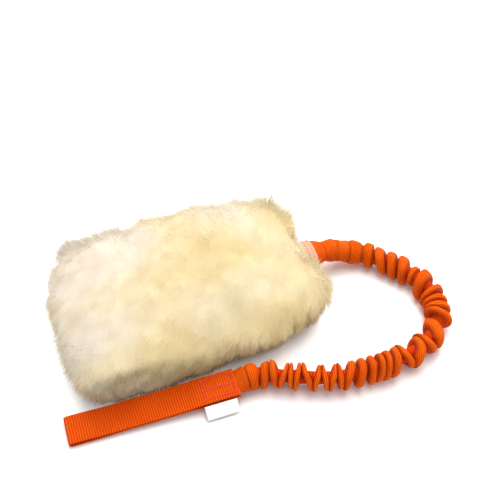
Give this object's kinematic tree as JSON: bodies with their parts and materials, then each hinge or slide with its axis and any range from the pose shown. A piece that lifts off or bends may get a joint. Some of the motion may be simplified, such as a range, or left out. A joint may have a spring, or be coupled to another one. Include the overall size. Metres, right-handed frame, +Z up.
{
  "type": "training bumper",
  "caption": "Double-sided sheepskin training bumper: a soft wool pad on a gathered elastic bungee strap that ends in a flat webbing hand loop with a blank cloth label.",
  "frame": {"origin": "centre of the pad's flat underside, on the plane it rests on", "axes": "+X along the pad's long side towards the neck cuff and bungee, +Z up, +Y to the side away from the hand loop"},
  "size_m": [0.3281, 0.2039, 0.056],
  "materials": {
    "wool": "long clumped sheepskin pile, cream to warm ivory",
    "hide": "matt tanned suede",
    "felt": "matt needled felt",
    "seam_thread": "matt waxed cord",
    "apricot_webbing": "matt pale apricot tape",
    "orange_webbing": "cross-ribbed polyamide webbing, slight sheen",
    "orange_thread": "bonded thread, slight sheen",
    "elastic": "braided cover over rubber strands",
    "label_cloth": "smooth white tape, blank"
  },
  "bodies": {
    "pad_front": {"wool_top_front": "wool", "wool_bottom_front": "wool", "hide_top_front": "hide", "hide_bottom_front": "hide", "felt_core_front": "felt", "edge_seam_front": "seam_thread", "anchor_strap": "apricot_webbing", "anchor_stitches": "orange_thread", "neck_cuff": "apricot_webbing"},
    "pad_rear": {"wool_top_rear": "wool", "wool_bottom_rear": "wool", "hide_top_rear": "hide", "hide_bottom_rear": "hide", "felt_core_rear": "felt", "edge_seam_rear": "seam_thread"},
    "neck_swivel": {"neck_cord_tack": "elastic"},
    "neck": {"neck_sleeve": "orange_webbing", "neck_cord": "elastic"},
    "link_01_sleeve": {"sleeve_01": "orange_webbing"},
    "link_01_cord": {"elastic_cord_01": "elastic"},
    "link_02_sleeve": {"sleeve_02": "orange_webbing"},
    "link_02_cord": {"elastic_cord_02": "elastic"},
    "link_03_sleeve": {"sleeve_03": "orange_webbing"},
    "link_03_cord": {"elastic_cord_03": "elastic"},
    "link_04_sleeve": {"sleeve_04": "orange_webbing"},
    "link_04_cord": {"elastic_cord_04": "elastic"},
    "link_05_sleeve": {"sleeve_05": "orange_webbing"},
    "link_05_cord": {"elastic_cord_05": "elastic"},
    "link_06_sleeve": {"sleeve_06": "orange_webbing"},
    "link_06_cord": {"elastic_cord_06": "elastic"},
    "link_07_sleeve": {"sleeve_07": "orange_webbing"},
    "link_07_cord": {"elastic_cord_07": "elastic"},
    "link_08_sleeve": {"sleeve_08": "orange_webbing"},
    "link_08_cord": {"elastic_cord_08": "elastic"},
    "link_09_sleeve": {"sleeve_09": "orange_webbing"},
    "link_09_cord": {"elastic_cord_09": "elastic"},
    "link_10_sleeve": {"sleeve_10": "orange_webbing"},
    "link_10_cord": {"elastic_cord_10": "elastic"},
    "handle_swivel": {"handle_cord_tack": "elastic"},
    "handle_bead": {"sleeve_end": "orange_webbing"},
    "handle_neck": {"sleeve_tongue": "orange_webbing", "loop_top_neck": "orange_webbing", "loop_bottom_near": "orange_webbing", "handle_zigzag": "orange_thread"},
    "loop_top_near": {"loop_top_near": "orange_webbing"},
    "loop_top_far": {"loop_top_far": "orange_webbing", "loop_fold": "orange_webbing"},
    "loop_bottom_far": {"loop_bottom_far": "orange_webbing"},
    "label": {"cloth_label": "label_cloth"}
  },
  "joints": [
    {"name": "pad_bend", "type": "hinge", "parent": "pad_front", "child": "pad_rear", "pos_m": [-0.014, 0, 0.027], "axis": [0, 1, 0], "range_deg": [0, 20]},
    {"name": "neck_swing", "type": "hinge", "parent": "pad_front", "child": "neck_swivel", "pos_m": [0.119, -0.0015, 0.0215], "axis": [0, 0, 1], "range_deg": [0, 40]},
    {"name": "neck_tilt", "type": "hinge", "parent": "neck_swivel", "child": "neck", "pos_m": [0.119, -0.0015, 0.0215], "axis": [-0.2079, -0.9781, 0], "range_deg": [0, 45]},
    {"name": "bungee_curve", "type": "hinge", "parent": "neck", "child": "link_01_sleeve", "pos_m": [0.15082, -0.00826, 0.0116], "axis": [0, 0, 1], "range_deg": [0, 36]},
    {"name": "bungee_stretch", "type": "slide", "parent": "link_01_sleeve", "child": "link_01_cord", "axis": [0.766, -0.6428, 0], "range_m": [0, 0.016]},
    {"name": "bungee_curve_02", "type": "hinge", "parent": "link_01_cord", "child": "link_02_sleeve", "pos_m": [0.17181, -0.02587, 0.0116], "axis": [0, 0, 1], "range_deg": [0, 22.36]},
    {"name": "bungee_stretch_02", "type": "slide", "parent": "link_02_sleeve", "child": "link_02_cord", "axis": [0.5446, -0.8387, 0], "range_m": [0, 0.0165]},
    {"name": "bungee_curve_03", "type": "hinge", "parent": "link_02_cord", "child": "link_03_sleeve", "pos_m": [0.18673, -0.04886, 0.0116], "axis": [0, 0, 1], "range_deg": [0, 32.64]},
    {"name": "bungee_stretch_03", "type": "slide", "parent": "link_03_sleeve", "child": "link_03_cord", "axis": [0.1392, -0.9903, 0], "range_m": [0, 0.0165]},
    {"name": "bungee_curve_04", "type": "hinge", "parent": "link_03_cord", "child": "link_04_sleeve", "pos_m": [0.19054, -0.07599, 0.0116], "axis": [0, 0, 1], "range_deg": [0, 40.36]},
    {"name": "bungee_stretch_04", "type": "slide", "parent": "link_04_sleeve", "child": "link_04_cord", "axis": [-0.3907, -0.9205, 0], "range_m": [0, 0.0165]},
    {"name": "bungee_curve_05", "type": "hinge", "parent": "link_04_cord", "child": "link_05_sleeve", "pos_m": [0.17984, -0.10121, 0.0116], "axis": [0, 0, 1], "range_deg": [0, 41.64]},
    {"name": "bungee_stretch_05", "type": "slide", "parent": "link_05_sleeve", "child": "link_05_cord", "axis": [-0.8192, -0.5736, 0], "range_m": [0, 0.0165]},
    {"name": "bungee_curve_06", "type": "hinge", "parent": "link_05_cord", "child": "link_06_sleeve", "pos_m": [0.15739, -0.11693, 0.0116], "axis": [0, 0, 1], "range_deg": [0, 35.21]},
    {"name": "bungee_stretch_06", "type": "slide", "parent": "link_06_sleeve", "child": "link_06_cord", "axis": [-0.9903, -0.1392, 0], "range_m": [0, 0.0165]},
    {"name": "bungee_tail_curve", "type": "hinge", "parent": "link_06_cord", "child": "link_07_sleeve", "pos_m": [0.13026, -0.12074, 0.0116], "axis": [0, 0, 1], "range_deg": [0, 25]},
    {"name": "bungee_stretch_07", "type": "slide", "parent": "link_07_sleeve", "child": "link_07_cord", "axis": [-0.9998, 0.0175, 0], "range_m": [0, 0.0165]},
    {"name": "bungee_tail_curve_08", "type": "hinge", "parent": "link_07_cord", "child": "link_08_sleeve", "pos_m": [0.10286, -0.12026, 0.0116], "axis": [0, 0, 1], "range_deg": [0, 25.5]},
    {"name": "bungee_stretch_08", "type": "slide", "parent": "link_08_sleeve", "child": "link_08_cord", "axis": [-0.9781, 0.2079, 0], "range_m": [0, 0.0165]},
    {"name": "bungee_tail_curve_09", "type": "hinge", "parent": "link_08_cord", "child": "link_09_sleeve", "pos_m": [0.07606, -0.11456, 0.0116], "axis": [0, 0, 1], "range_deg": [0, 25.5]},
    {"name": "bungee_stretch_09", "type": "slide", "parent": "link_09_sleeve", "child": "link_09_cord", "axis": [-0.9135, 0.4067, 0], "range_m": [0, 0.0165]},
    {"name": "bungee_tail_curve_10", "type": "hinge", "parent": "link_09_cord", "child": "link_10_sleeve", "pos_m": [0.05103, -0.10342, 0.0116], "axis": [0, 0, 1], "range_deg": [0, 25.5]},
    {"name": "bungee_stretch_10", "type": "slide", "parent": "link_10_sleeve", "child": "link_10_cord", "axis": [-0.8746, 0.4848, 0], "range_m": [0, 0.0165]},
    {"name": "handle_swing", "type": "hinge", "parent": "link_10_cord", "child": "handle_swivel", "pos_m": [0.02706, -0.09014, 0.0116], "axis": [0, 0, 1], "range_deg": [0, 32]},
    {"name": "handle_lift", "type": "hinge", "parent": "handle_swivel", "child": "handle_bead", "pos_m": [0.02706, -0.09014, 0.0116], "axis": [0.1045, 0.9945, 0], "range_deg": [0, 50]},
    {"name": "handle_twist", "type": "hinge", "parent": "handle_bead", "child": "handle_neck", "pos_m": [0.02706, -0.09014, 0.0116], "axis": [-0.993, 0.1044, -0.0558], "range_deg": [0, 90]},
    {"name": "handle_open", "type": "hinge", "parent": "handle_neck", "child": "loop_top_near", "pos_m": [-0.0217, -0.08501, 0.01076], "axis": [0.1045, 0.9945, 0], "range_deg": [0, 60]},
    {"name": "handle_open_top_far", "type": "hinge", "parent": "loop_top_near", "child": "loop_top_far", "pos_m": [-0.07283, -0.07964, 0.00789], "axis": [-0.1045, -0.9945, 0], "range_deg": [0, 61]},
    {"name": "handle_open_bottom_far", "type": "hinge", "parent": "handle_neck", "child": "loop_bottom_far", "pos_m": [-0.07262, -0.07966, 0.00409], "axis": [0.1045, 0.9945, 0], "range_deg": [0, 61]},
    {"name": "label_flap", "type": "hinge", "parent": "handle_neck", "child": "label", "pos_m": [-0.01009, -0.09981, 0.00959], "axis": [-0.993, 0.1044, -0.0558], "range_deg": [0, 130]}
  ],
  "couplings": [
    {"joint": "bungee_curve_02", "follows": "bungee_curve", "ratio": 0.6071},
    {"joint": "bungee_stretch_02", "follows": "bungee_stretch", "ratio": 1},
    {"joint": "bungee_curve_03", "follows": "bungee_curve", "ratio": 0.8929},
    {"joint": "bungee_stretch_03", "follows": "bungee_stretch", "ratio": 1},
    {"joint": "bungee_curve_04", "follows": "bungee_curve", "ratio": 1.1071},
    {"joint": "bungee_stretch_04", "follows": "bungee_stretch", "ratio": 1},
    {"joint": "bungee_curve_05", "follows": "bungee_curve", "ratio": 1.1429},
    {"joint": "bungee_stretch_05", "follows": "bungee_stretch", "ratio": 1},
    {"joint": "bungee_curve_06", "follows": "bungee_curve", "ratio": 0.9643},
    {"joint": "bungee_stretch_06", "follows": "bungee_stretch", "ratio": 1},
    {"joint": "bungee_stretch_07", "follows": "bungee_stretch", "ratio": 1},
    {"joint": "bungee_tail_curve_08", "follows": "bungee_tail_curve", "ratio": 1},
    {"joint": "bungee_stretch_08", "follows": "bungee_stretch", "ratio": 1},
    {"joint": "bungee_tail_curve_09", "follows": "bungee_tail_curve", "ratio": 1},
    {"joint": "bungee_stretch_09", "follows": "bungee_stretch", "ratio": 1},
    {"joint": "bungee_tail_curve_10", "follows": "bungee_tail_curve", "ratio": 1},
    {"joint": "bungee_stretch_10", "follows": "bungee_stretch", "ratio": 1},
    {"joint": "handle_open_top_far", "follows": "handle_open", "ratio": 1},
    {"joint": "handle_open_bottom_far", "follows": "handle_open", "ratio": 1}
  ]
}
